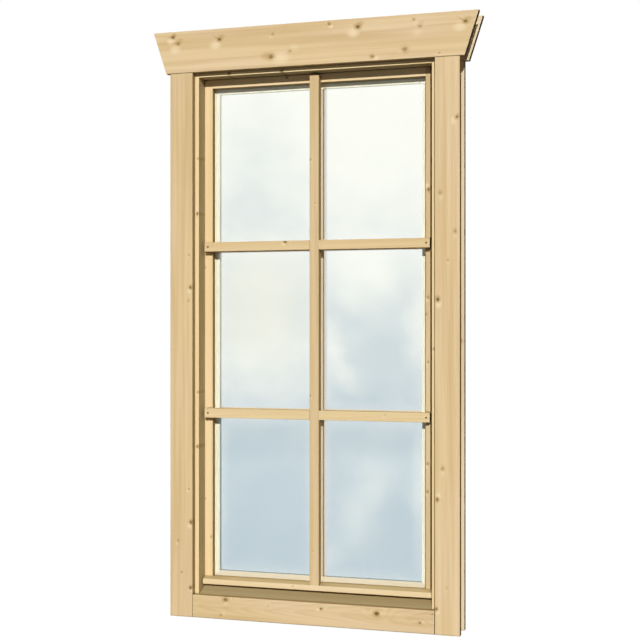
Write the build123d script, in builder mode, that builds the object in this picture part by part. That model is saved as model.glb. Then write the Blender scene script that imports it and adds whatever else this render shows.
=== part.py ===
from build123d import *
import os

# A six-light timber window for a log wall: an outer and an inner casing hold the wall between them,
# a fixed frame stands in the wall's opening, and one glazed sash is seated on the frame's room side.
# X runs to the right seen from outside, Y towards the room, Z up. Sizes are in millimetres.
# The origin is the centre of the sill's underside, where the frame stands on the wall.

# Casing boards, outside and inside alike
wall_thickness = 40.0  # the log wall, and so the depth of the fixed frame
casing_width = 691.0  # over the outer edges of the side boards
wall_cover = 20.0  # casing past the frame, over the wall
board_thickness = 16.0
side_board_width = 56.5
bottom_board_height = 53.0
head_board_height = 98.4
head_overhang_low = 10.2  # head board past the side boards along its lower edge
head_overhang_high = 42.1  # and along its upper edge
board_edge_radius = 1.5
board_joint = 0.8  # open joint where two boards meet

# Fixed frame
frame_height = 1295.5
frame_reveal = 9.8  # strip of frame that shows inside the casing
frame_edge_radius = 1.0
sill_rise = 14.0  # weathered top of the sill, from the casing's edge up to the sash

# Sash, glass and glazing beads
sash_setback = 34.0  # sash face behind the frame's outer face
sash_play = 1.0  # gap between sash and frame
sash_lip_width = 20.2  # face of the stiles and the top rail
sash_bottom_lip_height = 20.8  # face of the bottom rail
sash_lip_depth = 14.0  # wood in front of the glass
sash_lip_bevel = 0.6
sash_flange_cover = 8.0  # sash over the frame's room face
glass_thickness = 4.0
glass_cover = 8.0  # depth of the glass rebate behind the lip
glass_play = 2.0
bead_depth = 12.0
bead_reveal = 11.5  # bead past the lip, seen through the glass
bead_bevel = 2.0

# Glazing bars on both sides of the glass, and the drip rail they stand on
bar_width = 22.0
outer_bar_depth = 18.0
bar_end_inset = 6.9  # bar ends in from the sash's edges
lower_bar_height = 389.0  # centre line above the sash's lower sight line
bar_pitch = 392.8
bar_edge_radius = 1.0
drip_face_height = 11.8
drip_bevel_drop = 3.4
drip_end_inset = 2.4
drip_groove_width = 4.0
drip_groove_depth = 3.0
drip_groove_setback = 4.0

# Fittings on the room side
hinge_height = 64.0
hinge_end_distance = 150.0  # hinge centre from the sash's upper or lower edge
hinge_leaf_thickness = 2.0
hinge_leaf_width = 19.0
hinge_knuckle_radius = 5.0
hinge_clearance = 0.5
rose_width = 20.0
rose_height = 62.0
rose_thickness = 8.0
rose_edge_radius = 2.0
lever_length = 118.0
lever_width = 18.0
lever_thickness = 10.0
lever_edge_radius = 3.5
lever_neck_radius = 6.0
lever_neck_length = 18.0

# Places worked out from those sizes
frame_front = -wall_thickness / 2
frame_back = wall_thickness / 2
casing_edge = casing_width / 2
casing_inner_edge = casing_edge - side_board_width
casing_bottom = -wall_cover
casing_inner_bottom = casing_bottom + bottom_board_height
frame_edge = casing_edge - wall_cover
jamb_inner = casing_inner_edge - frame_reveal
jamb_width = frame_edge - jamb_inner
head_underside = frame_height - jamb_width
head_board_bottom = head_underside + frame_reveal
head_board_top = head_board_bottom + head_board_height
sill_back_top = casing_inner_bottom + sill_rise

sash_front = frame_front + sash_setback
glass_front = sash_front + sash_lip_depth
bead_front = glass_front + glass_thickness
sash_back = bead_front + bead_depth
sash_edge = jamb_inner - sash_play
sash_top = head_underside - sash_play
sash_bottom = sill_back_top + sash_play
flange_edge = jamb_inner + sash_flange_cover
flange_top = head_underside + sash_flange_cover
flange_bottom = sill_back_top - sash_flange_cover
lip_edge = sash_edge - sash_lip_width
lip_top = sash_top - sash_lip_width
lip_bottom = sash_bottom + sash_bottom_lip_height
rebate_edge = lip_edge + glass_cover
rebate_top = lip_top + glass_cover
rebate_bottom = lip_bottom - glass_cover
bead_edge = lip_edge - bead_reveal
bead_top = lip_top - bead_reveal
bead_bottom = lip_bottom + bead_reveal

bar_front = sash_front - outer_bar_depth
bar_middle = sash_front - outer_bar_depth / 2
inner_bar_back = sash_back - bead_bevel
inner_bar_middle = (bead_front + inner_bar_back) / 2
drip_face_top = lip_bottom - drip_bevel_drop
drip_bottom = drip_face_top - drip_face_height
lower_bar_centre = lip_bottom + lower_bar_height
bar_centres = {"lower": lower_bar_centre, "upper": lower_bar_centre + bar_pitch}

sides = {"left": -1, "right": 1}
os.makedirs("parts", exist_ok=True)


def save(piece, name):
    """Label a finished piece and write it to a file of its own."""
    piece.part.label = name
    export_step(piece.part, f"parts/{name}.step")


def casing_board(name, corners, wall_face, outward, long_axis):
    """One board on a face of the wall, with the long edges of its show face eased."""
    with BuildPart() as board:
        with BuildSketch(Plane.XZ.offset(-wall_face)):
            Polygon(*corners, align=None)
        extrude(amount=-outward * board_thickness)
        show_face = board.faces().sort_by(Axis.Y)[-1 if outward > 0 else 0]
        fillet(show_face.edges().filter_by(long_axis), board_edge_radius)
    save(board, name)


# Casings: a flared head board over two side boards, and a bottom board butted between them
for casing, wall_face, outward in (("outer", frame_front, -1), ("inner", frame_back, 1)):
    head_low = casing_edge + head_overhang_low
    head_high = casing_edge + head_overhang_high
    head_corners = [
        (-head_low, head_board_bottom),
        (head_low, head_board_bottom),
        (head_high, head_board_top),
        (-head_high, head_board_top),
    ]
    casing_board(f"{casing}_head_board", head_corners, wall_face, outward, Axis.X)
    for side, sign in sides.items():
        side_corners = [
            (sign * casing_inner_edge, casing_bottom),
            (sign * casing_edge, casing_bottom),
            (sign * casing_edge, head_board_bottom - board_joint),
            (sign * casing_inner_edge, head_board_bottom - board_joint),
        ]
        casing_board(f"{casing}_{side}_board", side_corners, wall_face, outward, Axis.Z)
    bottom_board_end = casing_inner_edge - board_joint
    bottom_corners = [
        (-bottom_board_end, casing_bottom),
        (bottom_board_end, casing_bottom),
        (bottom_board_end, casing_inner_bottom),
        (-bottom_board_end, casing_inner_bottom),
    ]
    casing_board(f"{casing}_bottom_board", bottom_corners, wall_face, outward, Axis.X)

# Fixed frame: through jambs, with the head and the weathered sill between them
for side, sign in sides.items():
    with BuildPart() as jamb:
        with BuildSketch(Plane.XY):
            with Locations((sign * (jamb_inner + frame_edge) / 2, 0)):
                Rectangle(jamb_width, wall_thickness)
        extrude(amount=frame_height)
        inner_face = jamb.faces().sort_by(Axis.X)[0 if sign > 0 else -1]
        fillet(inner_face.edges().filter_by(Axis.Z).sort_by(Axis.Y)[0], frame_edge_radius)
    save(jamb, f"frame_{side}_jamb")

with BuildPart() as frame_head:
    with BuildSketch(Plane.YZ):
        with Locations((0, head_underside + jamb_width / 2)):
            Rectangle(wall_thickness, jamb_width)
    extrude(amount=jamb_inner, both=True)
    underside = frame_head.faces().sort_by(Axis.Z)[0]
    fillet(underside.edges().filter_by(Axis.X).sort_by(Axis.Y)[0], frame_edge_radius)
save(frame_head, "frame_head")

with BuildPart() as frame_sill:
    with BuildSketch(Plane.YZ):
        Polygon(
            (frame_front, 0),
            (frame_back, 0),
            (frame_back, sill_back_top),
            (sash_front, sill_back_top),
            (frame_front, casing_inner_bottom),
            align=None,
        )
    extrude(amount=jamb_inner, both=True)
save(frame_sill, "frame_sill")

# Bevel round the sash's glass opening, mitred at the upper corners and dying at the drip rail
with BuildPart() as lip_bevel:
    with BuildSketch(Plane.XZ.offset(-sash_front)):
        Polygon(
            (-lip_edge - sash_lip_bevel, lip_bottom),
            (lip_edge + sash_lip_bevel, lip_bottom),
            (lip_edge + sash_lip_bevel, lip_top + sash_lip_bevel),
            (-lip_edge - sash_lip_bevel, lip_top + sash_lip_bevel),
            align=None,
        )
    with BuildSketch(Plane.XZ.offset(-sash_front - sash_lip_bevel)):
        Polygon(
            (-lip_edge, lip_bottom),
            (lip_edge, lip_bottom),
            (lip_edge, lip_top),
            (-lip_edge, lip_top),
            align=None,
        )
    loft(ruled=True)

# Sash stiles: lip, glass rebate and a flange that lies on the frame's room face
for side, sign in sides.items():
    with BuildPart() as stile:
        with BuildSketch(Plane.XY.offset(sash_bottom)):
            Polygon(
                (sign * lip_edge, sash_front),
                (sign * sash_edge, sash_front),
                (sign * sash_edge, frame_back),
                (sign * flange_edge, frame_back),
                (sign * flange_edge, sash_back),
                (sign * rebate_edge, sash_back),
                (sign * rebate_edge, glass_front),
                (sign * lip_edge, glass_front),
                align=None,
            )
        extrude(amount=sash_top - sash_bottom)
        with BuildSketch(Plane.XY.offset(flange_bottom)):
            with Locations((sign * (rebate_edge + flange_edge) / 2, (frame_back + sash_back) / 2)):
                Rectangle(flange_edge - rebate_edge, sash_back - frame_back)
        extrude(amount=flange_top - flange_bottom)
        add(lip_bevel.part, mode=Mode.SUBTRACT)
    save(stile, f"sash_{side}_stile")

# Sash rails between the stiles: the lip stops at the stiles' lips, the rest at their rebates
rail_edges = {
    "top": (lip_top, sash_top, flange_top, rebate_top),
    "bottom": (lip_bottom, sash_bottom, flange_bottom, rebate_bottom),
}
for rail_name, (lip, body_edge, flange, rebate) in rail_edges.items():
    with BuildPart() as rail:
        with BuildSketch(Plane.YZ):
            Polygon(
                (sash_front, lip),
                (sash_front, body_edge),
                (glass_front, body_edge),
                (glass_front, lip),
                align=None,
            )
        extrude(amount=lip_edge, both=True)
        with BuildSketch(Plane.YZ):
            Polygon(
                (glass_front, rebate),
                (glass_front, body_edge),
                (frame_back, body_edge),
                (frame_back, flange),
                (sash_back, flange),
                (sash_back, rebate),
                align=None,
            )
        extrude(amount=rebate_edge, both=True)
        add(lip_bevel.part, mode=Mode.SUBTRACT)
    save(rail, f"sash_{rail_name}_rail")

# Drip rail across the bottom rail: bevelled top, upright face and a drip groove underneath
with BuildPart() as drip_rail:
    with BuildSketch(Plane.YZ):
        Polygon(
            (sash_front, drip_bottom),
            (sash_front, lip_bottom),
            (bar_front, drip_face_top),
            (bar_front, drip_bottom),
            align=None,
        )
        with Locations((bar_front + drip_groove_setback, drip_bottom)):
            Rectangle(
                drip_groove_width,
                drip_groove_depth,
                align=(Align.MIN, Align.MIN),
                mode=Mode.SUBTRACT,
            )
    extrude(amount=sash_edge - drip_end_inset, both=True)
save(drip_rail, "drip_rail")

# Single pane, bedded on the lip and held by the beads
with BuildPart() as glass_pane:
    with BuildSketch(Plane.XZ.offset(-glass_front)):
        with Locations((0, (rebate_bottom + rebate_top) / 2)):
            Rectangle(2 * (rebate_edge - glass_play), rebate_top - rebate_bottom - 2 * glass_play)
    extrude(amount=-glass_thickness)
save(glass_pane, "glass_pane")

# Glazing beads on the room side, mitred at the corners and bevelled towards the light
bead_outlines = {
    "bottom": ((-1, "low"), (1, "low"), Axis.X),
    "right": ((1, "low"), (1, "high"), Axis.Z),
    "top": ((1, "high"), (-1, "high"), Axis.X),
    "left": ((-1, "high"), (-1, "low"), Axis.Z),
}
bead_levels = {"low": (rebate_bottom, bead_bottom), "high": (rebate_top, bead_top)}
for bead_name, (start, end, long_axis) in bead_outlines.items():
    (start_sign, start_level), (end_sign, end_level) = start, end
    with BuildPart() as bead:
        with BuildSketch(Plane.XZ.offset(-bead_front)):
            Polygon(
                (start_sign * rebate_edge, bead_levels[start_level][0]),
                (end_sign * rebate_edge, bead_levels[end_level][0]),
                (end_sign * bead_edge, bead_levels[end_level][1]),
                (start_sign * bead_edge, bead_levels[start_level][1]),
                align=None,
            )
        extrude(amount=-bead_depth)
        room_face = bead.faces().sort_by(Axis.Y)[-1]
        sight_edge = room_face.edges().filter_by(long_axis).sort_by(SortBy.LENGTH)[0]
        chamfer(sight_edge, bead_bevel)
    save(bead, f"{bead_name}_bead")


# Outer bars: the upright is scribed to the drip rail's bevel and halved over the cross bars
with BuildPart() as outer_upright:
    with BuildSketch(Plane.YZ):
        Polygon(
            (bar_front, drip_face_top),
            (sash_front, lip_bottom),
            (sash_front, sash_top - bar_end_inset),
            (bar_front, sash_top - bar_end_inset),
            align=None,
        )
    extrude(amount=bar_width / 2, both=True)
    show_face = outer_upright.faces().sort_by(Axis.Y)[0]
    fillet(show_face.edges().filter_by(Axis.Z), bar_edge_radius)
    with BuildSketch(Plane.YZ):
        for centre in bar_centres.values():
            with Locations(((bar_middle + sash_front) / 2, centre)):
                Rectangle(sash_front - bar_middle, bar_width)
    extrude(amount=bar_width, both=True, mode=Mode.SUBTRACT)
save(outer_upright, "outer_upright_bar")

for level, centre in bar_centres.items():
    with BuildPart() as cross_bar:
        with BuildSketch(Plane.XZ.offset(-sash_front)):
            with Locations((0, centre)):
                Rectangle(2 * (sash_edge - bar_end_inset), bar_width)
        extrude(amount=outer_bar_depth)
        show_face = cross_bar.faces().sort_by(Axis.Y)[0]
        fillet(show_face.edges().filter_by(Axis.X), bar_edge_radius)
        with BuildSketch(Plane.XZ.offset(-bar_middle)):
            with Locations((0, centre)):
                Rectangle(bar_width, bar_width)
        extrude(amount=outer_bar_depth, mode=Mode.SUBTRACT)
    save(cross_bar, f"outer_{level}_bar")

# Inner bars: the same grid on the room side of the glass, cut in between the beads
with BuildPart() as inner_upright:
    with BuildSketch(Plane.XZ.offset(-bead_front)):
        with Locations((0, (bead_bottom + bead_top) / 2)):
            Rectangle(bar_width, bead_top - bead_bottom)
    extrude(amount=-(inner_bar_back - bead_front))
    room_face = inner_upright.faces().sort_by(Axis.Y)[-1]
    fillet(room_face.edges().filter_by(Axis.Z), bar_edge_radius)
    with BuildSketch(Plane.YZ):
        for centre in bar_centres.values():
            with Locations(((bead_front + inner_bar_middle) / 2, centre)):
                Rectangle(inner_bar_middle - bead_front, bar_width)
    extrude(amount=bar_width, both=True, mode=Mode.SUBTRACT)
save(inner_upright, "inner_upright_bar")

for level, centre in bar_centres.items():
    with BuildPart() as cross_bar:
        with BuildSketch(Plane.XZ.offset(-bead_front)):
            with Locations((0, centre)):
                Rectangle(2 * bead_edge, bar_width)
        extrude(amount=-(inner_bar_back - bead_front))
        room_face = cross_bar.faces().sort_by(Axis.Y)[-1]
        fillet(room_face.edges().filter_by(Axis.X), bar_edge_radius)
        with BuildSketch(Plane.XZ.offset(-inner_bar_middle)):
            with Locations((0, centre)):
                Rectangle(bar_width, bar_width)
        extrude(amount=-(inner_bar_back - bead_front), mode=Mode.SUBTRACT)
    save(cross_bar, f"inner_{level}_bar")

# Lift-off hinges on the right: one leaf on the inner casing, the cranked one on the sash
casing_face = frame_back + board_thickness
knuckle_x = flange_edge + hinge_knuckle_radius + hinge_clearance
knuckle_y = casing_face + hinge_leaf_thickness + hinge_knuckle_radius - hinge_clearance * 2
knuckle_swing = hinge_knuckle_radius + hinge_clearance
hinge_levels = {"lower": sash_bottom + hinge_end_distance, "upper": sash_top - hinge_end_distance}
for level, hinge_centre in hinge_levels.items():
    hinge_bottom = hinge_centre - hinge_height / 2
    split_height = hinge_height / 2 - hinge_clearance / 2
    with BuildPart() as casing_leaf:
        with BuildSketch(Plane.XY.offset(hinge_bottom)):
            with Locations((knuckle_x, casing_face)):
                Rectangle(
                    knuckle_swing + hinge_leaf_width,
                    hinge_leaf_thickness,
                    align=(Align.MIN, Align.MIN),
                )
            with Locations((knuckle_x, knuckle_y)):
                Circle(hinge_knuckle_radius)
        extrude(amount=split_height)
        with BuildSketch(Plane.XY.offset(hinge_bottom)):
            with Locations((knuckle_x + knuckle_swing, casing_face)):
                Rectangle(hinge_leaf_width, hinge_leaf_thickness, align=(Align.MIN, Align.MIN))
        extrude(amount=hinge_height)
    save(casing_leaf, f"{level}_hinge_casing_leaf")
    with BuildPart() as sash_leaf:
        with BuildSketch(Plane.XY.offset(hinge_bottom + hinge_height - split_height)):
            with Locations((knuckle_x, sash_back)):
                Rectangle(
                    knuckle_swing + hinge_leaf_width,
                    hinge_leaf_thickness,
                    align=(Align.MAX, Align.MIN),
                )
            with Locations((knuckle_x, knuckle_y)):
                Circle(hinge_knuckle_radius)
        extrude(amount=split_height)
        with BuildSketch(Plane.XY.offset(hinge_bottom)):
            with Locations((knuckle_x - knuckle_swing, sash_back)):
                Rectangle(hinge_leaf_width, hinge_leaf_thickness, align=(Align.MAX, Align.MIN))
        extrude(amount=hinge_height)
    save(sash_leaf, f"{level}_hinge_sash_leaf")

# Handle on the left stile, at half height: a slim rose and a straight lever that points down
handle_x = -(rebate_edge + flange_edge) / 2
handle_z = (sash_bottom + sash_top) / 2
rose_face = sash_back + rose_thickness
lever_back = rose_face + lever_neck_length
with BuildPart() as handle_rose:
    with BuildSketch(Plane.XZ.offset(-sash_back)):
        with Locations((handle_x, handle_z)):
            SlotOverall(rose_height, rose_width, rotation=90)
    extrude(amount=-rose_thickness)
    fillet(handle_rose.faces().sort_by(Axis.Y)[-1].edges(), rose_edge_radius)
save(handle_rose, "handle_rose")

with BuildPart() as handle_lever:
    with BuildSketch(Plane.XZ.offset(-lever_back)):
        with Locations((handle_x, handle_z + lever_width / 2 - lever_length / 2)):
            SlotOverall(lever_length, lever_width, rotation=90)
    extrude(amount=-lever_thickness)
    fillet(handle_lever.faces().sort_by(Axis.Y)[-1].edges(), lever_edge_radius)
    with BuildSketch(Plane.XZ.offset(-rose_face)):
        with Locations((handle_x, handle_z)):
            Circle(lever_neck_radius)
    extrude(amount=-lever_neck_length)
save(handle_lever, "handle_lever")
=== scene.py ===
# A wooden window of six lights for a log wall, dressed piece by piece in the order it is put together.
# Metres throughout: X runs to the right seen from outside, Y towards the room, Z up.
import math

import bpy
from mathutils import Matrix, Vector


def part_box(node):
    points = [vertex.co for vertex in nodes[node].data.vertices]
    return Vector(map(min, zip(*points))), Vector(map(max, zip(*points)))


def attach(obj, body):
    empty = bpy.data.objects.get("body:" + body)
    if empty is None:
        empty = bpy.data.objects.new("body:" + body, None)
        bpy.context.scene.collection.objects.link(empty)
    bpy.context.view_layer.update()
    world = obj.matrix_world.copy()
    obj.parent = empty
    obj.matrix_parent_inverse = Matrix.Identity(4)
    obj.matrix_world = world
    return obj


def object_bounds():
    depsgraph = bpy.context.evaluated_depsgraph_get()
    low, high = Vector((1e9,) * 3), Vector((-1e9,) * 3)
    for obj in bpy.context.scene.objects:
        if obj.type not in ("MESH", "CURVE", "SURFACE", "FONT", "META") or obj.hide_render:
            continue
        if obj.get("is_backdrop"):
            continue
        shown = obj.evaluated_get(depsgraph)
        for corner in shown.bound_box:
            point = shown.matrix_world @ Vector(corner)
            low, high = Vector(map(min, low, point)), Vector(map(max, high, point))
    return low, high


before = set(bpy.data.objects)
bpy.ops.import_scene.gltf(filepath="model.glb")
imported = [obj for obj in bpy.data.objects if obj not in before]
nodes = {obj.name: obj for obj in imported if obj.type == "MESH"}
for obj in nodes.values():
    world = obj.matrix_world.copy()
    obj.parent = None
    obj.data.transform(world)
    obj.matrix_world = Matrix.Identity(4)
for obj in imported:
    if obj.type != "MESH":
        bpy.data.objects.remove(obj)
cad_low, cad_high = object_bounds()


# Outer casing: four planed spruce boards that cover the joint between the frame and the logs. The head
# board flares towards its top and lies across the side boards, and the bottom board is butted between
# them. They are fixed from behind, so only figure and knots show on their faces.
CASING_TONES = ((0.82, 0.63, 0.365, 1.0), (0.58, 0.385, 0.165, 1.0), (0.84, 0.645, 0.41, 1.0))
SIDE_TONES = ((0.79, 0.60, 0.335, 1.0), (0.56, 0.370, 0.155, 1.0), (0.79, 0.60, 0.365, 1.0))
KNOT_FLARE = (0.92, 0.74, 0.48, 1.0)
KNOT_AMBER = (0.46, 0.29, 0.10, 1.0)
KNOT_BROWN = (0.33, 0.19, 0.065, 1.0)
KNOT_DARK = (0.18, 0.095, 0.03, 1.0)
# End grain is darker than face grain, and its near-black tone is also painted shade.
END_GRAIN_SHADE = (0.10, 0.075, 0.045, 1.0)
# Painted shade on the side faces of a piece, deepest on the right-hand boards' outer edges.
PAINTED_SIDE_SHADE = (0.60, 0.56, 0.46, 1.0)
OUTER_RIGHT_SIDE_SHADE = (0.25, 0.175, 0.07, 1.0)
# Painted shade on faces turned up.
PAINTED_TOP_SHADE = (0.56, 0.53, 0.46, 1.0)
# Painted shade in tight corners, creases and under parts, found by an occlusion node; the same tint serves
# the painted shadow of the jamb on the right stile.
PAINTED_SHADE_TINT = (0.25, 0.175, 0.07, 1.0)
CORNER_REACH = 0.006
CORNER_SHARE = 0.8
CORNER_OPENNESS = (0.85, 0.40)
# How softly the painted shadow of the jamb on the right stile begins.
SHADOW_BLUR = 0.0008
RING_WIDTH = 0.0020
RING_WANDER = 0.012
LATE_WOOD_RISE = (0.30, 0.88)
LATE_WOOD_FALL = (1.0, 0.90)
KNOT_SWELL = 1.1
FIGURE_SPREAD = (31.0, 17.0, 53.0)


def bare_nodes(owner):
    """The node tree of a material or a world, emptied."""
    owner.use_nodes = True
    owner.node_tree.nodes.clear()
    return owner.node_tree


def lay(tree, kind, feeds=None, **settings):
    """Adds one node to a tree, sets its properties, and joins a wire or a number to each input named."""
    made = tree.nodes.new(kind)
    for name, value in settings.items():
        setattr(made, name, value)
    for socket, feed in (feeds or {}).items():
        if isinstance(feed, bpy.types.NodeSocket):
            tree.links.new(feed, made.inputs[socket])
        else:
            made.inputs[socket].default_value = feed
    return made


def reckon(tree, operation, *terms):
    """One sum on wires and numbers."""
    return lay(tree, "ShaderNodeMath", dict(enumerate(terms)), operation=operation).outputs[0]


def shift(tree, operation, place, by):
    """One sum on points."""
    return lay(tree, "ShaderNodeVectorMath", {0: place, 1: by}, operation=operation).outputs[0]


def stretch(tree, place, by):
    """A point moved out from the origin, or towards it, by a factor."""
    return lay(tree, "ShaderNodeVectorMath", {0: place, "Scale": by}, operation="SCALE").outputs[0]


def measure(tree, operation, *places):
    """One number worked out from points: a length, or the product of two."""
    return lay(tree, "ShaderNodeVectorMath", dict(enumerate(places)), operation=operation).outputs["Value"]


def split(tree, place):
    """A point's three coordinates."""
    return lay(tree, "ShaderNodeSeparateXYZ", {0: place}).outputs


def stain(tree, amount, under, over, blend="MIX"):
    """Lays one colour over another, by an amount from 0 to 1."""
    feeds = {0: amount, 6: under, 7: over}
    return lay(tree, "ShaderNodeMix", feeds, data_type="RGBA", blend_type=blend).outputs[2]


def ease(tree, value, start, end, low=0.0, high=1.0):
    """Runs smoothly from low, where value is at start, to high, where it is at end."""
    feeds = {0: value, 1: start, 2: end, 3: low, 4: high}
    return lay(tree, "ShaderNodeMapRange", feeds, interpolation_type="SMOOTHSTEP").outputs[0]


def mottle(tree, place, spots_per_metre, detail=2.0):
    """Uneven patches from 0 to 1, with their own number to the metre across, through and along."""
    spread = shift(tree, "MULTIPLY", place, spots_per_metre)
    return lay(tree, "ShaderNodeTexNoise", {"Vector": spread, "Scale": 1.0, "Detail": detail}).outputs[0]


def oval(tree, place, half_across, half_along):
    """How far a place lies from the middle of an oval: 0 there and 1 on its edge."""
    flat = shift(tree, "MULTIPLY", place, (1.0 / half_across, 0.0, 1.0 / half_along))
    return measure(tree, "LENGTH", flat)


def knot_group():
    """One knot in a board, in its radii: brown core, amber rim, the cut branch beside it, a pale flare
    where the grain turns towards the light, a shade where it turns away, and the rings' swell round it."""
    group = bpy.data.node_groups.new("spruce_knot", "ShaderNodeTree")
    for name, kind in (("Grain", "Vector"), ("Place", "Vector"), ("Flare", "Vector"), ("Branch", "Vector"),
                       ("Radius", "Float"), ("Darkness", "Float")):
        group.interface.new_socket(name, in_out="INPUT", socket_type="NodeSocket" + kind)
    for name in ("Core", "Halo", "Flare", "Shade", "Branch", "Swell"):
        group.interface.new_socket(name, in_out="OUTPUT", socket_type="NodeSocketFloat")
    given = lay(group, "NodeGroupInput").outputs
    per_radius = reckon(group, "DIVIDE", 1.0, given["Radius"])

    def in_radii(place):
        return shift(group, "MULTIPLY", stretch(group, place, per_radius), (1.0, 0.0, 1.0))

    here = in_radii(shift(group, "SUBTRACT", given["Grain"], given["Place"]))
    ragged = reckon(group, "SUBTRACT", mottle(group, given["Grain"], (420.0, 60.0, 300.0)), 0.5)
    near = reckon(group, "MULTIPLY_ADD", ragged, 0.6, oval(group, here, 1.0, 1.2))
    flare = in_radii(given["Flare"])
    span = measure(group, "LENGTH", flare)
    off_flare = oval(group, shift(group, "SUBTRACT", here, flare), 0.9, 1.25)
    from_flare = reckon(group, "DIVIDE", off_flare, span)
    beyond = shift(group, "ADD", here, shift(group, "MULTIPLY", flare, (0.5, 0.0, 0.5)))
    from_shade = reckon(group, "DIVIDE", oval(group, beyond, 0.55, 0.8), span)
    branch = in_radii(given["Branch"])
    reach = measure(group, "DOT_PRODUCT", branch, branch)
    run = measure(group, "DOT_PRODUCT", here, branch)
    past_core = reckon(group, "MAXIMUM", reckon(group, "DIVIDE", run, reach), 0.0)
    share = reckon(group, "MINIMUM", past_core, 1.0)
    stem = stretch(group, branch, share)
    off_stem = oval(group, shift(group, "SUBTRACT", here, stem), 0.85, 0.85)
    fading = reckon(group, "MULTIPLY", reckon(group, "SUBTRACT", 1.0, share), given["Darkness"])
    far = reckon(group, "MULTIPLY", reckon(group, "POWER", oval(group, here, 2.4, 5.5), 2.0), -1.0)
    swell = reckon(group, "MULTIPLY", reckon(group, "EXPONENT", far), given["Radius"])
    lay(group, "NodeGroupOutput", {
        "Core": reckon(group, "MULTIPLY", ease(group, near, 1.2, 0.6), given["Darkness"]),
        "Halo": reckon(group, "MULTIPLY", ease(group, near, 2.7, 0.9), given["Darkness"]),
        "Flare": reckon(group, "MULTIPLY", ease(group, from_flare, 1.0, 0.1), given["Darkness"]),
        "Shade": reckon(group, "MULTIPLY", ease(group, from_shade, 1.0, 0.1), given["Darkness"]),
        "Branch": reckon(group, "MULTIPLY", ease(group, off_stem, 1.0, 0.2), fading),
        "Swell": reckon(group, "MULTIPLY", swell, KNOT_SWELL)})
    return group


knot_figure = knot_group()


def knot(x, z, radius, darkness=1.0, flare=(-0.003, -0.006), branch=(0.0, 0.0)):
    """Where a knot shows on a board, and which way its flare and its cut branch lie."""
    return {"Place": (x, z), "Radius": radius, "Darkness": darkness, "Flare": flare, "Branch": branch}


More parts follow.
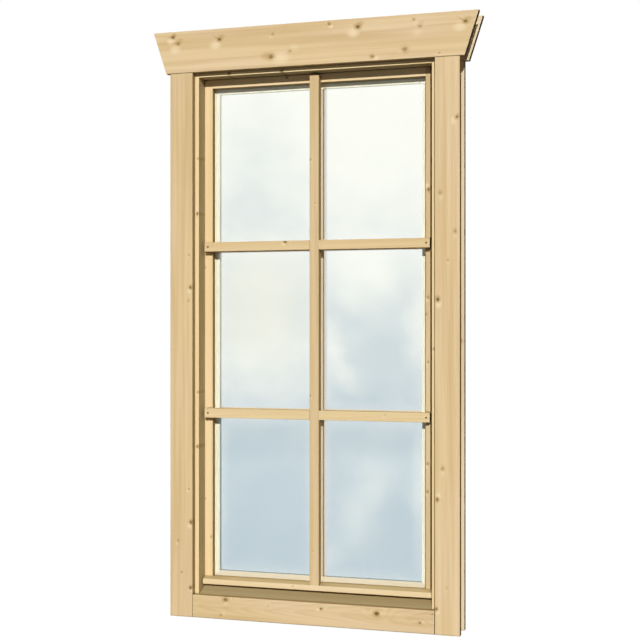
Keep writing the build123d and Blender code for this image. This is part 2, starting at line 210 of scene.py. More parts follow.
def spruce(name, length, heart, lean, knots=(), tones=CASING_TONES, top_shade=0.0, edge=PAINTED_SIDE_SHADE,
           corner_shade=CORNER_SHARE, shadow_from=None):
    """Planed spruce for one board, in tones of early wood, late wood and sapwood. Its length runs along X
    or Z; heart is where the tree's middle lies across and through the board, and lean how far that drifts
    over a metre. End grain is darker than face grain, and end grain and side faces carry painted shade;
    faces turned up carry painted shade, tight corners painted shade, and past the point given along X the
    outer face a painted shadow."""
    pale, late, sap = tones
    material = bpy.data.materials.new(name)
    tree = bare_nodes(material)
    x, y, z = split(tree, lay(tree, "ShaderNodeTexCoord").outputs["Object"])
    across, along = (x, z) if length == "Z" else (z, x)
    grain = lay(tree, "ShaderNodeCombineXYZ", {0: across, 1: y, 2: along}).outputs[0]
    apart = (heart[0] * FIGURE_SPREAD[0], heart[1] * FIGURE_SPREAD[1], heart[0] * FIGURE_SPREAD[2])
    own = shift(tree, "ADD", grain, apart)

    marks = dict.fromkeys(("Core", "Halo", "Flare", "Shade", "Branch", "Swell"), 0.0)
    for one in knots:
        spot = lay(tree, "ShaderNodeGroup", node_tree=knot_figure)
        tree.links.new(grain, spot.inputs["Grain"])
        for label, value in one.items():
            if isinstance(value, tuple):
                value = (value[0], 0.0, value[1]) if length == "Z" else (value[1], 0.0, value[0])
            spot.inputs[label].default_value = value
        for mark, so_far in marks.items():
            joining = "ADD" if mark == "Swell" else "MAXIMUM"
            marks[mark] = reckon(tree, joining, so_far, spot.outputs[mark])

    side = reckon(tree, "SUBTRACT", reckon(tree, "SUBTRACT", across, heart[0]),
                  reckon(tree, "MULTIPLY", along, lean[0]))
    deep = reckon(tree, "SUBTRACT", reckon(tree, "SUBTRACT", y, heart[1]),
                  reckon(tree, "MULTIPLY", along, lean[1]))
    from_heart = reckon(tree, "SQRT", reckon(tree, "ADD", reckon(tree, "POWER", side, 2.0),
                        reckon(tree, "POWER", deep, 2.0)))
    wander = reckon(tree, "MULTIPLY", mottle(tree, own, (14.0, 14.0, 1.3), 3.0), RING_WANDER)
    grown = reckon(tree, "ADD", reckon(tree, "ADD", from_heart, wander), marks["Swell"])
    in_ring = reckon(tree, "FRACT", reckon(tree, "DIVIDE", grown, RING_WIDTH))
    ring = reckon(tree, "MULTIPLY", ease(tree, in_ring, *LATE_WOOD_RISE),
                  ease(tree, in_ring, *LATE_WOOD_FALL))
    years = mottle(tree, own, (55.0, 55.0, 1.8))
    fibre = mottle(tree, own, (1100.0, 1100.0, 26.0), 3.0)
    streak = mottle(tree, own, (120.0, 70.0, 2.6), 3.0)
    band = mottle(tree, own, (38.0, 26.0, 1.7), 2.0)
    blush = mottle(tree, own, (17.0, 14.0, 4.5), 2.0)

    colour = stain(tree, ease(tree, blush, 0.38, 0.68), pale, sap)
    late_share = reckon(tree, "MULTIPLY", ring, ease(tree, years, 0.3, 0.72, 0.05, 0.32))
    colour = stain(tree, late_share, colour, late)
    for figure, start, end, share in ((streak, 0.36, 0.74, 0.38), (band, 0.42, 0.70, 0.40),
                                      (fibre, 0.55, 0.80, 0.16)):
        colour = stain(tree, ease(tree, figure, start, end, 0.0, share), colour, late)
    heartwood = stain(tree, ease(tree, streak, 0.40, 0.60), KNOT_DARK, KNOT_BROWN)
    for mark, share, tint in (("Shade", 0.46, KNOT_AMBER), ("Flare", 0.85, KNOT_FLARE),
                              ("Halo", 0.55, KNOT_AMBER), ("Branch", 0.66, KNOT_AMBER),
                              ("Core", 0.90, heartwood)):
        colour = stain(tree, reckon(tree, "MULTIPLY", marks[mark], share), colour, tint)

    # Painted shade on end grain and on side faces, by the shade given for each.
    facing = split(tree, lay(tree, "ShaderNodeNewGeometry").outputs["Normal"])
    for axis, shade in ((0 if length == "X" else 2, END_GRAIN_SHADE), (2 if length == "X" else 0, edge)):
        side_on = ease(tree, reckon(tree, "ABSOLUTE", facing[axis]), 0.6, 0.95)
        colour = stain(tree, side_on, colour, shade, "MULTIPLY")
    # Painted shade on the faces turned up.
    if top_shade:
        colour = stain(tree, ease(tree, facing[2], 0.3, 0.8, 0.0, top_shade), colour, PAINTED_TOP_SHADE, "MULTIPLY")
    # Painted shade in tight corners and under parts.
    if corner_shade:
        room = lay(tree, "ShaderNodeAmbientOcclusion", {"Distance": CORNER_REACH}, samples=8).outputs["AO"]
        corner_darkening = ease(tree, room, *CORNER_OPENNESS, 0.0, corner_shade)
        colour = stain(tree, corner_darkening, colour, PAINTED_SHADE_TINT, "MULTIPLY")
    # Painted shadow of the jamb on the outer face, from the point given along X.
    if shadow_from is not None:
        outside = ease(tree, facing[1], -0.5, -0.9)
        cast_shade = reckon(tree, "MULTIPLY", ease(tree, x, shadow_from, shadow_from + SHADOW_BLUR), outside)
        colour = stain(tree, cast_shade, colour, PAINTED_SHADE_TINT, "MULTIPLY")

    height = reckon(tree, "ADD", reckon(tree, "MULTIPLY", fibre, 0.7), reckon(tree, "MULTIPLY", ring, 0.3))
    bump = lay(tree, "ShaderNodeBump", {"Strength": 0.22, "Distance": 0.0004, "Height": height})
    board = lay(tree, "ShaderNodeBsdfPrincipled", {"Specular IOR Level": 0.05})
    tree.links.new(colour, board.inputs["Base Color"])
    tree.links.new(ease(tree, ring, 0.0, 1.0, 0.80, 0.66), board.inputs["Roughness"])
    tree.links.new(bump.outputs[0], board.inputs["Normal"])
    lay(tree, "ShaderNodeOutputMaterial", {0: board.outputs[0]})
    return material


def dress(node, material):
    """Gives a solid its finish."""
    nodes[node].material_slots[0].material = material


dress("outer_head_board", spruce("head_board_spruce", "X", (1.248, 0.012), (0.010, 0.024), (
    knot(-0.338, 1.345, 0.0034, 1.0, (-0.006, -0.010), (-0.026, 0.0)),
    knot(-0.325, 1.329, 0.0032, 0.8, (-0.008, -0.014), (-0.034, 0.003)),
    knot(-0.221, 1.332, 0.0036, 0.9, (-0.010, -0.013), (-0.022, 0.013)),
    knot(-0.094, 1.284, 0.0046, 0.9, (0.024, -0.004), (-0.004, -0.010)),
    knot(-0.090, 1.335, 0.0024, 0.4, (-0.004, -0.006)),
    knot(-0.048, 1.294, 0.0024, 0.4, (0.010, 0.008), (0.012, 0.0)),
    knot(0.046, 1.349, 0.0022, 0.9, (0.004, -0.006)),
    knot(0.113, 1.338, 0.0042, 0.95, (-0.011, -0.013), (-0.012, 0.006)),
    knot(0.147, 1.269, 0.0030, 0.8, (0.008, -0.004)),
    knot(0.221, 1.280, 0.0054, 0.5, (-0.008, -0.004)),
    knot(0.242, 1.345, 0.0024, 0.45, (0.004, -0.006)),
    knot(0.256, 1.329, 0.0028, 0.45, (-0.006, -0.013), (-0.010, 0.008)),
    knot(0.300, 1.267, 0.0014, 0.6, (0.002, -0.004)),
    knot(0.358, 1.333, 0.0036, 0.9, (-0.013, -0.011), (-0.024, 0.014)))))
dress("outer_left_board", spruce("left_board_spruce", "Z", (-0.262, 0.020), (0.006, 0.026), (
    knot(-0.298, 0.830, 0.0014, 0.6, (-0.002, -0.003)),
    knot(-0.294, 0.754, 0.0030, 0.85, (-0.003, -0.008), (-0.006, 0.005)),
    knot(-0.299, 0.723, 0.0028, 0.25, (0.001, -0.005)),
    knot(-0.298, 0.280, 0.0014, 0.7, (-0.002, -0.004)),
    knot(-0.293, 0.2025, 0.0032, 0.9, (-0.003, -0.008), (-0.006, 0.007)),
    knot(-0.325, 0.158, 0.0024, 0.4, (-0.003, -0.006)),
    knot(-0.316, 0.084, 0.0022, 0.45, (0.002, -0.003)),
    knot(-0.2935, 0.049, 0.0030, 0.95, (0.003, -0.006), (-0.006, -0.003))), SIDE_TONES))
dress("outer_right_board", spruce("right_board_spruce", "Z", (0.366, 0.016), (-0.005, 0.024), (
    knot(0.339, 1.124, 0.0030, 0.75, (-0.008, -0.008), (-0.008, -0.010)),
    knot(0.301, 0.958, 0.0032, 0.4, (0.002, -0.010), (0.012, 0.002)),
    knot(0.335, 0.872, 0.0034, 0.4, (0.0, -0.009)),
    knot(0.319, 0.809, 0.0020, 0.3, (0.0, -0.006)),
    knot(0.296, 0.722, 0.0034, 0.95, (0.002, -0.011)),
    knot(0.307, 0.348, 0.0032, 0.45, (0.0, -0.009), (-0.010, -0.004)),
    knot(0.295, 0.280, 0.0030, 0.9, (0.003, 0.008)),
    knot(0.316, 0.085, 0.0024, 0.15, (0.0, -0.006)),
    knot(0.293, 0.037, 0.0026, 1.0, (0.003, -0.006))), edge=OUTER_RIGHT_SIDE_SHADE))
dress("outer_bottom_board", spruce("bottom_board_spruce", "X", (0.012, 0.026), (0.008, -0.028), (
    knot(-0.217, -0.010, 0.0022, 0.45, (0.006, 0.004)),
    knot(-0.206, 0.026, 0.0042, 0.95, (0.001, -0.007)),
    knot(-0.101, 0.018, 0.0020, 0.15, (0.004, -0.004)),
    knot(0.026, 0.020, 0.0022, 0.9, (-0.006, -0.002)),
    knot(0.157, 0.018, 0.0048, 1.0, (0.008, 0.001)),
    knot(0.256, 0.004, 0.0024, 0.65, (0.005, 0.002)),
    knot(0.284, 0.026, 0.0014, 0.8, (0.003, 0.002))), SIDE_TONES))


# Inner casing: the same four boards on the room side of the wall, of the same planed spruce. Each keeps the
# figure of its own tree, so no board repeats one of the outer casing. Kept out of the rain, they are paler,
# and the right one's side faces carry a deep painted shade.
INNER_TONES = ((0.83, 0.70, 0.475, 1.0), (0.66, 0.49, 0.27, 1.0), (0.86, 0.72, 0.515, 1.0))
INNER_RIGHT_SIDE_SHADE = (0.14, 0.13, 0.09, 1.0)
dress("inner_head_board", spruce("inner_head_spruce", "X", (1.322, -0.022), (-0.008, 0.030), (
    knot(-0.262, 1.302, 0.0044, 0.9, (0.016, -0.006)),
    knot(-0.071, 1.341, 0.0026, 0.8, (0.010, -0.006), (0.016, 0.006)),
    knot(0.118, 1.276, 0.0036, 0.9, (-0.010, 0.008)),
    knot(0.291, 1.325, 0.0030, 0.7, (-0.010, -0.008), (-0.014, 0.010))), INNER_TONES))
dress("inner_left_board", spruce("inner_left_spruce", "Z", (-0.327, -0.028), (0.005, -0.027), (
    knot(-0.331, 1.012, 0.0034, 0.9),
    knot(-0.305, 0.561, 0.0026, 0.7, branch=(-0.010, 0.008)),
    knot(-0.322, 0.174, 0.0040, 0.95, (0.004, 0.013))), INNER_TONES))
dress("inner_right_board", spruce("inner_right_spruce", "Z", (0.303, -0.018), (0.004, 0.025), (
    knot(0.312, 0.983, 0.0028, 0.8),
    knot(0.336, 0.630, 0.0038, 0.9, branch=(-0.008, -0.010)),
    knot(0.301, 0.322, 0.0024, 0.7)), INNER_TONES, edge=INNER_RIGHT_SIDE_SHADE))
dress("inner_bottom_board", spruce("inner_bottom_spruce", "X", (-0.004, -0.024), (0.006, 0.031), (
    knot(-0.182, 0.014, 0.0036, 0.9, (0.014, -0.004)),
    knot(0.064, -0.003, 0.0022, 0.7),
    knot(0.221, 0.021, 0.0030, 0.85, (-0.012, -0.006))), INNER_TONES))


# Fixed frame: two jambs, a head and a sill of paler, straight-grained spruce, set in the opening of the
# wall.
# The sill's sloped top and every side face carry painted shade.
FRAME_TONES = ((0.90, 0.715, 0.395, 1.0), (0.79, 0.575, 0.26, 1.0), (0.90, 0.715, 0.41, 1.0))
FRAME_SIDE_SHADE = (0.585, 0.585, 0.56, 1.0)
dress("frame_left_jamb", spruce("left_jamb_spruce", "Z", (-0.340, 0.055), (0.003, 0.012), (
    knot(-0.282, 1.058, 0.0016, 0.6),
    knot(-0.283, 0.929, 0.0024, 0.9, (0.0, 0.008)),
    knot(-0.2815, 0.507, 0.0020, 0.6, (0.0, -0.005)),
    knot(-0.283, 0.379, 0.0024, 0.9)), FRAME_TONES, edge=FRAME_SIDE_SHADE, corner_shade=0.2))
dress("frame_right_jamb", spruce("right_jamb_spruce", "Z", (0.352, 0.048), (0.003, -0.012), (
    knot(0.284, 0.612, 0.0020, 0.6),), FRAME_TONES, edge=FRAME_SIDE_SHADE, corner_shade=0.5))
dress("frame_head", spruce("frame_head_spruce", "X", (1.318, 0.060), (0.003, 0.010), (
    knot(-0.203, 1.2535, 0.0026, 0.9),
    knot(-0.073, 1.2520, 0.0028, 0.9)), FRAME_TONES, edge=FRAME_SIDE_SHADE))
dress("frame_sill", spruce("sill_spruce", "X", (-0.030, 0.014), (0.004, 0.012), (
    knot(0.148, 0.020, 0.0030, 0.6),), FRAME_TONES, 0.36, FRAME_SIDE_SHADE))


# Sash: two stiles and two rails of clear pale spruce, lapped at the corners, with the drip rail planted
# along its foot, whose bevel sheds water past a groove on its underside. The right stile is of riper wood,
# and a painted shadow of the jamb darkens the margin of its outer face. The stiles' rebates and the other
# side faces carry painted shade.
SASH_TONES = ((0.90, 0.70, 0.405, 1.0), (0.79, 0.56, 0.265, 1.0), (0.90, 0.70, 0.42, 1.0))
DRIP_TONES = ((0.87, 0.715, 0.455, 1.0), (0.77, 0.58, 0.31, 1.0), (0.88, 0.72, 0.48, 1.0))
# Painted shade on the side faces of the drip rail and the outer bars.
SASH_SIDE_SHADE = (0.72, 0.68, 0.56, 1.0)
REBATE_SHADE = (0.44, 0.39, 0.265, 1.0)
# Where the painted shadow of the right jamb begins on the right stile.
JAMB_SHADOW_EDGE = 0.2684
RIPE_TONES = ((0.74, 0.57, 0.320, 1.0), (0.60, 0.41, 0.19, 1.0), (0.76, 0.58, 0.345, 1.0))
dress("sash_left_stile", spruce("left_stile_spruce", "Z", (-0.318, 0.070), (0.003, 0.010), (
    knot(-0.276, 0.803, 0.0016, 0.4, (0.001, -0.003)),
    knot(-0.276, 0.252, 0.0016, 0.4, (0.001, -0.003)),
    knot(-0.262, 0.162, 0.0022, 0.4)), SASH_TONES, edge=REBATE_SHADE))
dress("sash_right_stile", spruce("right_stile_spruce", "Z", (0.321, 0.066), (0.002, 0.012), (
    knot(0.265, 0.972, 0.0028, 0.9, (-0.004, 0.008)),
    knot(0.264, 0.728, 0.0022, 0.7),
    knot(0.259, 0.690, 0.0022, 0.5),
    knot(0.264, 0.582, 0.0018, 0.5),
    knot(0.263, 0.352, 0.0022, 0.6),
    knot(0.262, 0.289, 0.0022, 0.6)), RIPE_TONES, edge=REBATE_SHADE, shadow_from=JAMB_SHADOW_EDGE))
dress("sash_top_rail", spruce("top_rail_spruce", "X", (1.290, 0.072), (0.003, 0.010), (
    knot(-0.072, 1.244, 0.0022, 0.8),), SASH_TONES))
dress("sash_bottom_rail", spruce("bottom_rail_spruce", "X", (0.012, 0.069), (0.003, -0.010), (
    knot(0.186, 0.064, 0.0020, 0.6),), SASH_TONES))
dress("drip_rail", spruce("drip_rail_spruce", "X", (0.020, 0.040), (0.002, 0.012), (
    knot(-0.052, 0.060, 0.0016, 0.3),), DRIP_TONES, edge=SASH_SIDE_SHADE))


# Glass: one pane of clear float glass in the sash's rebate. It lets the light through, and its two faces
# mirror the sky in front of the window, less so where a bead or a bar backs it and along each light's rim.
PANE_MIRROR = 0.285
RIM_MIRROR = 0.23
BACKED_MIRROR = 0.06
RIM_WIDTH = 0.032
BACKING_BLUR = (-0.001, 0.0015)
GRAZING_POWER = 5.0
PANE_TINT = (1.0, 1.0, 0.98, 1.0)
PANE_BACKING = (("left_bead", 0), ("inner_upright_bar", 0), ("right_bead", 0), ("bottom_bead", 2),
                ("inner_lower_bar", 2), ("inner_upper_bar", 2), ("top_bead", 2))


def float_glass():
    """Clear glass whose mirror grows towards a grazing look. Light bound for the wood passes through."""
    material = bpy.data.materials.new("clear_float_glass")
    tree = bare_nodes(material)
    place = split(tree, lay(tree, "ShaderNodeTexCoord").outputs["Object"])
    from_rim = RIM_WIDTH
    for piece, axis in PANE_BACKING:
        low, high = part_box(piece)
        past_piece = reckon(tree, "MAXIMUM", reckon(tree, "SUBTRACT", low[axis], place[axis]),
                            reckon(tree, "SUBTRACT", place[axis], high[axis]))
        from_rim = reckon(tree, "MINIMUM", from_rim, past_piece)
    straight_on = reckon(tree, "MINIMUM", ease(tree, from_rim, 0.0, RIM_WIDTH, RIM_MIRROR, PANE_MIRROR),
                         ease(tree, from_rim, *BACKING_BLUR, BACKED_MIRROR, PANE_MIRROR))
    grazing = lay(tree, "ShaderNodeLayerWeight", {"Blend": 0.5}).outputs["Facing"]
    mirror = reckon(tree, "MAXIMUM", reckon(tree, "POWER", grazing, GRAZING_POWER), straight_on)
    clear = lay(tree, "ShaderNodeBsdfTransparent", {"Color": PANE_TINT})
    gloss = lay(tree, "ShaderNodeBsdfGlossy", {"Color": (1.0, 1.0, 1.0, 1.0), "Roughness": 0.0})
    pane = lay(tree, "ShaderNodeMixShader", {0: mirror, 1: clear.outputs[0], 2: gloss.outputs[0]})
    ray = lay(tree, "ShaderNodeLightPath").outputs
    passing = reckon(tree, "MAXIMUM", ray["Is Shadow Ray"], ray["Is Diffuse Ray"])
    lit = lay(tree, "ShaderNodeMixShader", {0: passing, 1: pane.outputs[0], 2: clear.outputs[0]})
    lay(tree, "ShaderNodeOutputMaterial", {0: lit.outputs[0]})
    return material


dress("glass_pane", float_glass())


# Glazing beads: four mitred strips of very pale, clear spruce that hold the pane from the room side. The
# one at the foot is a little darker and greyer, and the side faces of all four carry painted shade, most on
# the foot bead.
BEAD_TONES = ((0.99, 0.97, 0.80, 1.0), (0.97, 0.91, 0.69, 1.0), (0.99, 0.975, 0.83, 1.0))
FOOT_BEAD_TONES = ((0.86, 0.77, 0.60, 1.0), (0.80, 0.69, 0.50, 1.0), (0.86, 0.78, 0.63, 1.0))
BEAD_SIDE_SHADE = (0.92, 0.87, 0.78, 1.0)
FOOT_BEAD_SIDE_SHADE = (0.50, 0.53, 0.56, 1.0)
for bead, length, heart, tones, edge in (
        ("bottom_bead", "X", (0.052, 0.080), FOOT_BEAD_TONES, FOOT_BEAD_SIDE_SHADE),
        ("top_bead", "X", (1.262, 0.082), BEAD_TONES, BEAD_SIDE_SHADE),
        ("left_bead", "Z", (-0.300, 0.078), BEAD_TONES, BEAD_SIDE_SHADE),
        ("right_bead", "Z", (0.296, 0.084), BEAD_TONES, BEAD_SIDE_SHADE)):
    dress(bead, spruce(bead + "_spruce", length, heart, (0.003, 0.010), (), tones, 0.0, edge, 0.0))


# Outer glazing bars: one upright and two cross bars, halved into each other where they meet and laid on
# the face of the sash. A small copper-plated pin holds each end of a cross bar.
# The bars' faces turned up and their side faces carry painted shade.
BAR_TONES = ((0.79, 0.605, 0.335, 1.0), (0.67, 0.46, 0.21, 1.0), (0.79, 0.605, 0.35, 1.0))
LOWER_BAR_TONES = ((0.83, 0.655, 0.375, 1.0), (0.70, 0.50, 0.235, 1.0), (0.83, 0.655, 0.39, 1.0))
PIN_FROM_END = 0.0082
PIN_RADIUS = 0.0024
PIN_RISE = 0.0005
PIN_COPPER = (0.30, 0.17, 0.07, 1.0)
PIN_TARNISH = (0.19, 0.11, 0.05, 1.0)
OUTWARDS = (0.0, -1.0, 0.0)
SMOOTHER_PATCH = 0.06
ROUGHER_PATCH = 0.08
HEAD_STEPS = ((0.5, 0.88), (0.35, 0.72), (0.15, 0.5))
dress("outer_upright_bar", spruce("upright_bar_spruce", "Z", (0.024, 0.050), (0.002, 0.014), (
    knot(-0.009, 1.047, 0.0016, 0.85, (0.002, -0.003)),
    knot(0.002, 0.947, 0.0012, 0.5, (0.001, -0.003)),
    knot(-0.009, 0.502, 0.0016, 0.85, (0.002, -0.003)),
    knot(-0.004, 0.145, 0.0014, 0.4, (0.001, -0.003))), RIPE_TONES, 0.3, SASH_SIDE_SHADE))
dress("outer_upper_bar", spruce("upper_bar_spruce", "X", (0.868, 0.046), (0.002, 0.012), (
    knot(-0.070, 0.859, 0.0028, 0.95, (-0.004, -0.005)),), BAR_TONES, 0.3, SASH_SIDE_SHADE))
dress("outer_lower_bar", spruce("lower_bar_spruce", "X", (0.442, 0.052), (0.002, -0.012), (
    knot(0.168, 0.462, 0.0012, 0.3),), LOWER_BAR_TONES, 0.3, SASH_SIDE_SHADE))


def worn_metal(name, colour, dull, shine, roughness, spots_per_metre):
    """Bare metal, with a finish that is a little uneven."""
    material = bpy.data.materials.new(name)
    tree = bare_nodes(material)
    place = lay(tree, "ShaderNodeTexCoord").outputs["Object"]
    uneven = mottle(tree, place, spots_per_metre, 3.0)
    metal = lay(tree, "ShaderNodeBsdfPrincipled", {"Metallic": shine})
    tree.links.new(stain(tree, ease(tree, uneven, 0.35, 0.7), colour, dull), metal.inputs["Base Color"])
    wear = ease(tree, uneven, 0.3, 0.7, roughness - SMOOTHER_PATCH, roughness + ROUGHER_PATCH)
    tree.links.new(wear, metal.inputs["Roughness"])
    bump = lay(tree, "ShaderNodeBump", {"Strength": 0.10, "Distance": 0.0002, "Height": uneven})
    tree.links.new(bump.outputs[0], metal.inputs["Normal"])
    lay(tree, "ShaderNodeOutputMaterial", {0: metal.outputs[0]})
    return material


def sunk_heads(name, places, facing, radius, rise, cross, material):
    """Domed pin or screw heads, one at each place and looking the way of facing; cross is the width of
    their driving slots, or 0 for a plain pin."""
    tree = bpy.data.node_groups.new(name + "_nodes", "GeometryNodeTree")
    inputs = []
    for label, kind, value in (("Places", "Geometry", None), ("Head Radius", "Float", radius),
                               ("Head Rise", "Float", rise), ("Slot Width", "Float", cross),
                               ("Turn Seed", "Int", 4), ("Finish", "Material", material)):
        socket = tree.interface.new_socket(label, in_out="INPUT", socket_type="NodeSocket" + kind)
        inputs.append((socket.identifier, value))
    tree.interface.new_socket("Heads", in_out="OUTPUT", socket_type="NodeSocketGeometry")
    given = lay(tree, "NodeGroupInput").outputs
    rim = lay(tree, "GeometryNodeMeshCylinder", {"Vertices": 24, "Radius": given["Head Radius"],
                                                 "Depth": given["Head Rise"]})
    head, crown = rim.outputs["Mesh"], rim.outputs["Top"]
    for climb, narrowing in HEAD_STEPS:
        step = reckon(tree, "MULTIPLY", given["Head Rise"], climb)
        raised = lay(tree, "GeometryNodeExtrudeMesh", {
            "Mesh": head, "Selection": crown, "Offset Scale": step}, mode="FACES")
        crown = raised.outputs["Top"]
        head = lay(tree, "GeometryNodeScaleElements", {
            "Geometry": raised.outputs["Mesh"], "Selection": crown, "Scale": narrowing}).outputs[0]
    if cross:
        slot_length = reckon(tree, "MULTIPLY", given["Head Radius"], 1.2)
        slot_depth = reckon(tree, "MULTIPLY", given["Head Rise"], 1.8)
        slot_width = given["Slot Width"]
        arm = lay(tree, "ShaderNodeCombineXYZ", {0: slot_length, 1: slot_width, 2: slot_depth})
        other_arm = lay(tree, "ShaderNodeCombineXYZ", {0: slot_width, 1: slot_length, 2: slot_depth})
        lift = lay(tree, "ShaderNodeCombineXYZ", {2: reckon(tree, "MULTIPLY", given["Head Rise"], 1.5)})
        slots = lay(tree, "GeometryNodeMeshBoolean", operation="UNION", solver="EXACT")
        for size in (arm, other_arm):
            cube = lay(tree, "GeometryNodeMeshCube", {"Size": size.outputs[0]})
            tree.links.new(cube.outputs["Mesh"], slots.inputs["Mesh 2"])
        cutter = lay(tree, "GeometryNodeTransform", {"Geometry": slots.outputs["Mesh"],
                                                     "Translation": lift.outputs[0]})
        cut = lay(tree, "GeometryNodeMeshBoolean", {"Mesh 1": head, "Mesh 2": cutter.outputs[0]},
                  operation="DIFFERENCE", solver="EXACT")
        head = cut.outputs["Mesh"]
    turn = lay(tree, "FunctionNodeRandomValue", {"Max": (0.0, 0.0, math.pi), "Seed": given["Turn Seed"]},
               data_type="FLOAT_VECTOR")
    spin = lay(tree, "FunctionNodeEulerToRotation", {0: turn.outputs[0]})
    aim = lay(tree, "FunctionNodeAlignRotationToVector", {"Rotation": spin.outputs[0], "Vector": facing},
              axis="Z")
    set_in = lay(tree, "GeometryNodeInstanceOnPoints", {
        "Points": given["Places"], "Instance": head, "Rotation": aim.outputs[0]})
    whole = lay(tree, "GeometryNodeRealizeInstances", {"Geometry": set_in.outputs[0]})
    finished = lay(tree, "GeometryNodeSetMaterial", {
        "Geometry": whole.outputs[0], "Material": given["Finish"]})
    lay(tree, "NodeGroupOutput", {0: finished.outputs[0]})

    mesh = bpy.data.meshes.new(name)
    mesh.from_pydata(places, [], [])
    heads = bpy.data.objects.new(name, mesh)
    bpy.context.scene.collection.objects.link(heads)
    setting = heads.modifiers.new("heads", "NODES")
    setting.node_group = tree
    for identifier, value in inputs:
        if value is not None:
            setting[identifier] = value
    made = bpy.data.meshes.new_from_object(heads.evaluated_get(bpy.context.evaluated_depsgraph_get()))
    heads.modifiers.clear()
    heads.data = made
    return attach(heads, "root")


pin_places = []
for bar in ("outer_lower_bar", "outer_upper_bar"):
    low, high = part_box(bar)
    for x in (low.x + PIN_FROM_END, high.x - PIN_FROM_END):
        pin_places.append((x, low.y, (low.z + high.z) / 2))
pin_copper = worn_metal("pin_copper", PIN_COPPER, PIN_TARNISH, shine=0.3, roughness=0.6,
                        spots_per_metre=(900.0, 900.0, 900.0))
pins = sunk_heads("bar_pins", pin_places, OUTWARDS, PIN_RADIUS, PIN_RISE, 0.0, pin_copper)


# Inner glazing bars: the same cross of bars on the room side of the glass, between the beads. Their wood
# is a darker copy of the beads', as painted shade from the outer bars, so the strip that shows beside the
# upright is a shade darker; their side faces carry painted shade too.
SHADED_INNER_BAR_TONES = ((0.72, 0.62, 0.46, 1.0), (0.62, 0.51, 0.35, 1.0), (0.73, 0.63, 0.49, 1.0))
for bar, length, heart, lean in (("inner_upright_bar", "Z", (0.030, 0.086), (0.002, 0.012)),
                                 ("inner_upper_bar", "X", (0.872, 0.090), (0.002, 0.012)),
                                 ("inner_lower_bar", "X", (0.430, 0.088), (0.002, -0.012))):
    dress(bar, spruce(bar + "_spruce", length, heart, lean, (), SHADED_INNER_BAR_TONES, 0.0, BEAD_SIDE_SHADE, 0.0))


# Hinges: two pairs of cranked leaves in zinc-plated steel on the room side, one leaf on the casing and one
# on the sash, each held by two screws with domed heads and cross slots.
LEAF_THICKNESS = 0.002
LEAF_WIDTH = 0.019
SCREW_SPREAD = 0.019
SCREW_RADIUS = 0.0036
SCREW_RISE = 0.0007
SCREW_SLOT = 0.0009
LEAF_ZINC = (0.62, 0.62, 0.60, 1.0)
LEAF_DULL = (0.46, 0.47, 0.46, 1.0)
SCREW_ZINC = (0.66, 0.64, 0.58, 1.0)
SCREW_DULL = (0.42, 0.42, 0.40, 1.0)
ROOMWARDS = (0.0, 1.0, 0.0)
zinc = worn_metal("zinc_plate", LEAF_ZINC, LEAF_DULL, shine=0.9, roughness=0.36,
                  spots_per_metre=(160.0, 160.0, 160.0))
screw_zinc = worn_metal("screw_zinc", SCREW_ZINC, SCREW_DULL, shine=0.9, roughness=0.33,
                        spots_per_metre=(500.0, 500.0, 500.0))
leaf_screws = []
for height in ("lower", "upper"):
    for leaf, board in (("casing", "inner_right_board"), ("sash", "sash_right_stile")):
        name = height + "_hinge_" + leaf + "_leaf"
        dress(name, zinc)
        low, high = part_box(name)
        x = high.x - LEAF_WIDTH / 2 if leaf == "casing" else low.x + LEAF_WIDTH / 2
        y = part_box(board)[1].y + LEAF_THICKNESS
        for side in (-1, 1):
            leaf_screws.append((x, y, (low.z + high.z) / 2 + side * SCREW_SPREAD))
screws = sunk_heads("hinge_screws", leaf_screws, ROOMWARDS, SCREW_RADIUS, SCREW_RISE, SCREW_SLOT,
                    screw_zinc)


# Handle: a slim rose and a lever of satin anodised aluminium on the room side of the other stile. Both are
# brushed along their length, and the lever hangs down, as on a closed sash.
SATIN_BRIGHT = (0.70, 0.70, 0.69, 1.0)
SATIN_DULL = (0.60, 0.60, 0.60, 1.0)
satin = worn_metal("satin_aluminium", SATIN_BRIGHT, SATIN_DULL, shine=1.0, roughness=0.34,
                   spots_per_metre=(900.0, 900.0, 30.0))
dress("handle_rose", satin)
dress("handle_lever", satin)


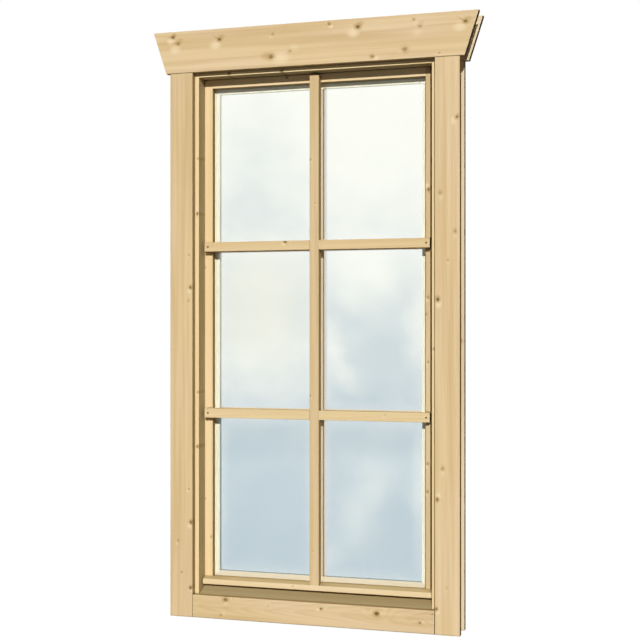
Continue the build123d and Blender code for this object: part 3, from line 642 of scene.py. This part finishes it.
# Studio: a pale floor under the window's foot, a low sun from the upper right, a soft lamp for the room
# side, and a bright sky that the glass and the metal mirror. Each bank thickens or thins the sky's cloud by
# its share, in the direction x, z from the window.
FLOOR_DROP = 0.0005
FLOOR_REACH = 40.0
FLOOR_GREY = (0.22, 0.22, 0.22, 1.0)
FLOOR_SEEN_GREY = (0.05, 0.05, 0.05, 1.0)
FLOOR_GLOW = 0.977
SKY_BLUE = (0.02, 0.23, 0.375, 1.0)
SKY_CLOUD = (0.95, 0.985, 0.88, 1.0)
WHITE = (1.0, 1.0, 1.0, 1.0)
GROUND_PALE = (0.86, 0.87, 0.87, 1.0)
GROUND_FADE = (-0.24, -0.42)
CLOUD_RISE = (-0.21, 0.25)
CLOUD_BANKS = (
    (-0.335, 0.150, 0.065, 0.090, -0.18), (-0.340, 0.092, 0.055, 0.035, -0.15),
    (-0.248, 0.140, 0.050, 0.070, 0.06), (-0.335, -0.030, 0.100, 0.055, 0.27),
    (-0.335, -0.055, 0.060, 0.020, 0.14), (-0.256, 0.045, 0.046, 0.040, 0.25),
    (-0.243, -0.018, 0.040, 0.045, -0.03), (-0.281, -0.012, 0.015, 0.028, 0.16),
    (-0.276, -0.030, 0.013, 0.021, 0.14), (-0.270, -0.043, 0.012, 0.017, 0.13),
    (-0.265, -0.052, 0.009, 0.013, 0.08), (-0.212, -0.002, 0.020, 0.045, 0.18),
    (-0.250, -0.130, 0.060, 0.070, 0.12), (-0.266, -0.168, 0.030, 0.034, 0.17),
    (-0.256, -0.146, 0.030, 0.034, 0.17), (-0.244, -0.122, 0.024, 0.030, 0.12),
    (-0.278, -0.186, 0.022, 0.026, 0.20), (-0.227, -0.150, 0.015, 0.036, -0.10),
    (-0.210, -0.130, 0.022, 0.050, 0.24))
CLOUD_BILLOW = 0.32
BILLOW_SPOTS = (38.0, 38.0, 44.0)
CLOUD_CURL = 0.022
CURL_SPOTS = (22.0, 22.0, 26.0)
WARM_HAZE = (0.85, 0.81, 0.56, 1.0)
HAZE_MIDDLE = (-0.335, 0.0, 0.018)
HAZE_HALF_WIDE = 0.055
HAZE_HALF_HIGH = 0.075
HAZE_SHARE = 0.5
SKY_FILL = 0.12
SUN_FROM = (0.285, -1.0, 0.485)
SUN_STRENGTH = 3.105
SUN_SPREAD = 1.6
ROOM_LAMP_PLACE = (-1.6, 2.9, 1.9)
ROOM_LAMP_AIM = (0.0, 0.0, 0.65)
ROOM_LAMP_POWER = 115.0
ROOM_LAMP_SIZE = 2.4
CAMERA_PLACE = (0.8404, -2.7315, 0.6601)
CAMERA_TURN = 16.85
CAMERA_LENS = 69.64
CAMERA_SENSOR = 36.0
CAMERA_RISE = 0.0117

floor_mesh = bpy.data.meshes.new("floor")
floor_z = cad_low.z - FLOOR_DROP
floor_corners = [(x * FLOOR_REACH, y * FLOOR_REACH, floor_z)
                 for x, y in ((-1, -1), (1, -1), (1, 1), (-1, 1))]
floor_mesh.from_pydata(floor_corners, [], [(0, 1, 2, 3)])
floor = bpy.data.objects.new("floor", floor_mesh)
bpy.context.scene.collection.objects.link(floor)
floor.visible_glossy = False
floor_paint = bpy.data.materials.new("floor_paint")
tree = bare_nodes(floor_paint)
seen = lay(tree, "ShaderNodeLightPath").outputs["Is Camera Ray"]
matt = lay(tree, "ShaderNodeBsdfDiffuse", {"Color": stain(tree, seen, FLOOR_GREY, FLOOR_SEEN_GREY)})
glow = lay(tree, "ShaderNodeEmission", {"Strength": reckon(tree, "MULTIPLY", seen, FLOOR_GLOW)})
both = lay(tree, "ShaderNodeAddShader", {0: matt.outputs[0], 1: glow.outputs[0]})
lay(tree, "ShaderNodeOutputMaterial", {0: both.outputs[0]})
floor_mesh.materials.append(floor_paint)
floor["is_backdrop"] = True

world = bpy.data.worlds.new("studio_sky")
tree = bare_nodes(world)
ray = lay(tree, "ShaderNodeLightPath").outputs
way = lay(tree, "ShaderNodeTexCoord").outputs["Generated"]
height = split(tree, way)[2]
billow = reckon(tree, "SUBTRACT", mottle(tree, way, BILLOW_SPOTS, 5.0), 0.5)
uneven = reckon(tree, "SUBTRACT", mottle(tree, way, CURL_SPOTS, 4.0), 0.5)
curl = reckon(tree, "MULTIPLY", uneven, CLOUD_CURL)
torn = shift(tree, "ADD", way, lay(tree, "ShaderNodeCombineXYZ", {0: curl, 2: curl}).outputs[0])
cover = reckon(tree, "MULTIPLY_ADD", billow, CLOUD_BILLOW, ease(tree, height, *CLOUD_RISE))
for x, z, half_wide, half_high, share in CLOUD_BANKS:
    from_middle = oval(tree, shift(tree, "SUBTRACT", torn, (x, 0.0, z)), half_wide, half_high)
    cover = reckon(tree, "MULTIPLY_ADD", ease(tree, from_middle, 1.0, 0.0), share, cover)
clouds = stain(tree, ease(tree, cover, 0.0, 1.0), SKY_BLUE, SKY_CLOUD)
from_haze = oval(tree, shift(tree, "SUBTRACT", torn, HAZE_MIDDLE), HAZE_HALF_WIDE, HAZE_HALF_HIGH)
clouds = stain(tree, ease(tree, from_haze, 1.0, 0.2, 0.0, HAZE_SHARE), clouds, WARM_HAZE)
clouds = stain(tree, ease(tree, height, *GROUND_FADE), clouds, GROUND_PALE)
sky = lay(tree, "ShaderNodeBackground", {"Color": clouds, "Strength": 1.0})
fill = lay(tree, "ShaderNodeBackground", {"Color": WHITE, "Strength": SKY_FILL})
white = lay(tree, "ShaderNodeBackground", {"Color": WHITE, "Strength": 1.0})
mirrored = lay(tree, "ShaderNodeMixShader", {
    0: ray["Is Glossy Ray"], 1: fill.outputs[0], 2: sky.outputs[0]})
straight = reckon(tree, "MAXIMUM", ray["Is Camera Ray"], ray["Is Transmission Ray"])
behind = lay(tree, "ShaderNodeMixShader", {0: straight, 1: mirrored.outputs[0], 2: white.outputs[0]})
lay(tree, "ShaderNodeOutputWorld", {0: behind.outputs[0]})
bpy.context.scene.world = world


def lamp(name, kind, place, aim, **settings):
    """Adds a lamp at a place, turned to an aim."""
    light = bpy.data.lights.new(name, kind)
    for setting, value in settings.items():
        setattr(light, setting, value)
    holder = bpy.data.objects.new(name, light)
    holder.location = place
    way_down = [a - p for a, p in zip(aim, place)]
    holder.rotation_euler = Vector(way_down).to_track_quat("-Z", "Y").to_euler()
    holder.visible_camera = False
    holder.visible_glossy = False
    holder.visible_transmission = False
    bpy.context.scene.collection.objects.link(holder)


lamp("sun", "SUN", SUN_FROM, (0.0, 0.0, 0.0), energy=SUN_STRENGTH, angle=math.radians(SUN_SPREAD))
lamp("room_lamp", "AREA", ROOM_LAMP_PLACE, ROOM_LAMP_AIM, energy=ROOM_LAMP_POWER, shape="SQUARE",
     size=ROOM_LAMP_SIZE)

camera_data = bpy.data.cameras.new("camera")
camera_data.lens = CAMERA_LENS
camera_data.sensor_width = CAMERA_SENSOR
camera_data.shift_y = CAMERA_RISE
camera = bpy.data.objects.new("camera", camera_data)
camera.location = CAMERA_PLACE
camera.rotation_euler = (math.radians(90.0), 0.0, math.radians(CAMERA_TURN))
bpy.context.scene.collection.objects.link(camera)
bpy.context.scene.camera = camera
bpy.context.scene.view_settings.view_transform = "Standard"

low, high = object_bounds()
